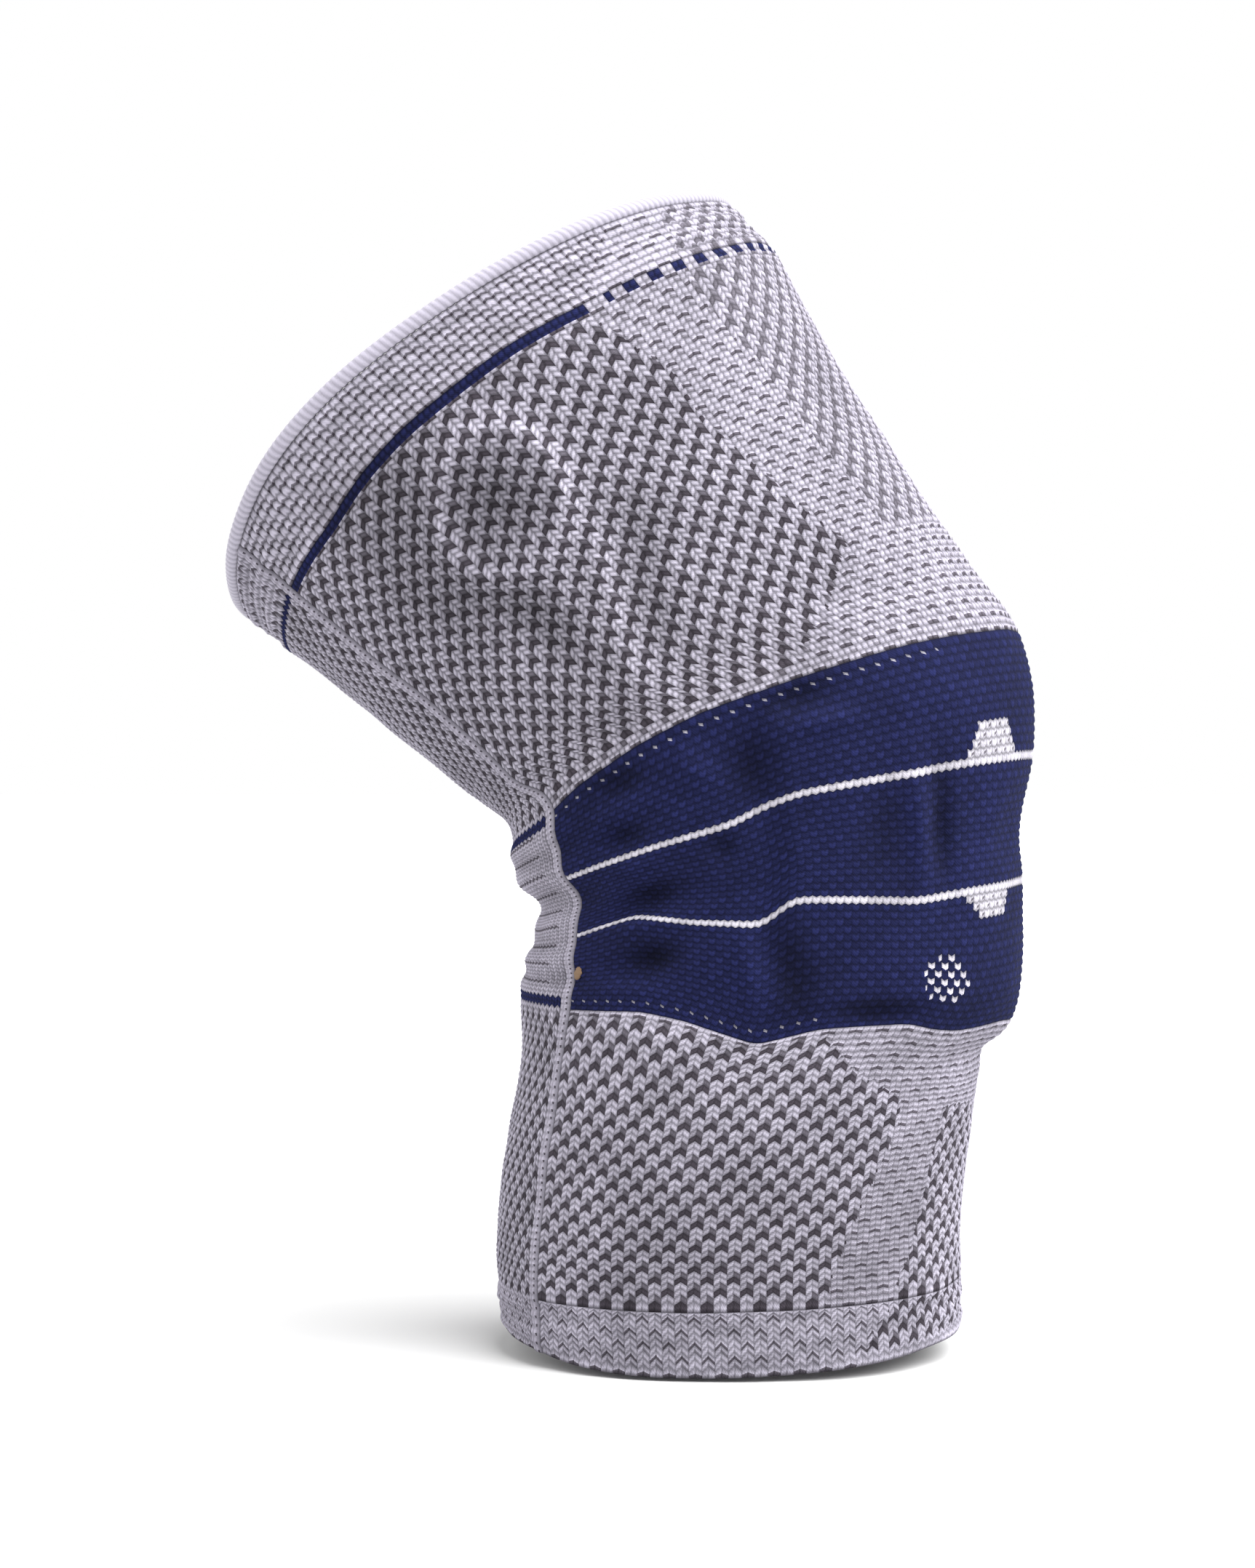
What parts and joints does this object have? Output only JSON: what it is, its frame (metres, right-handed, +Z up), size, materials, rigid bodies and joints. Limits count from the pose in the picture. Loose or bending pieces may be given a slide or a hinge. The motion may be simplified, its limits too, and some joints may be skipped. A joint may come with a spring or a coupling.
{
  "type": "knee sleeve",
  "caption": "Knitted knee sleeve in the bent form of a worn leg, with a padded blue knee zone, a back panel between raised seams and a bound thigh rim",
  "frame": {"origin": "middle of the leg at the course of the knit where the knee bends", "axes": "+X forward to the kneecap, +Y to the far side of the leg, +Z up along the calf"},
  "size_m": [0.201, 0.1438, 0.2879],
  "materials": {
    "pale_binding": "matt whipped yarn",
    "light_knit": "matt knit",
    "grey_knit": "matt two-colour knit",
    "blue_knit": "matt dense knit",
    "back_knit": "matt knit",
    "seam_knit": "matt stitched seam"
  },
  "bodies": {
    "root": {"top_binding": "pale_binding", "top_welt": "light_knit", "thigh_knit": "grey_knit", "knee_band": "blue_knit", "calf_knit": "grey_knit", "bottom_hem": "light_knit", "back_panel": "back_knit", "near_seam": "seam_knit", "far_seam": "seam_knit"}
  },
  "joints": []
}
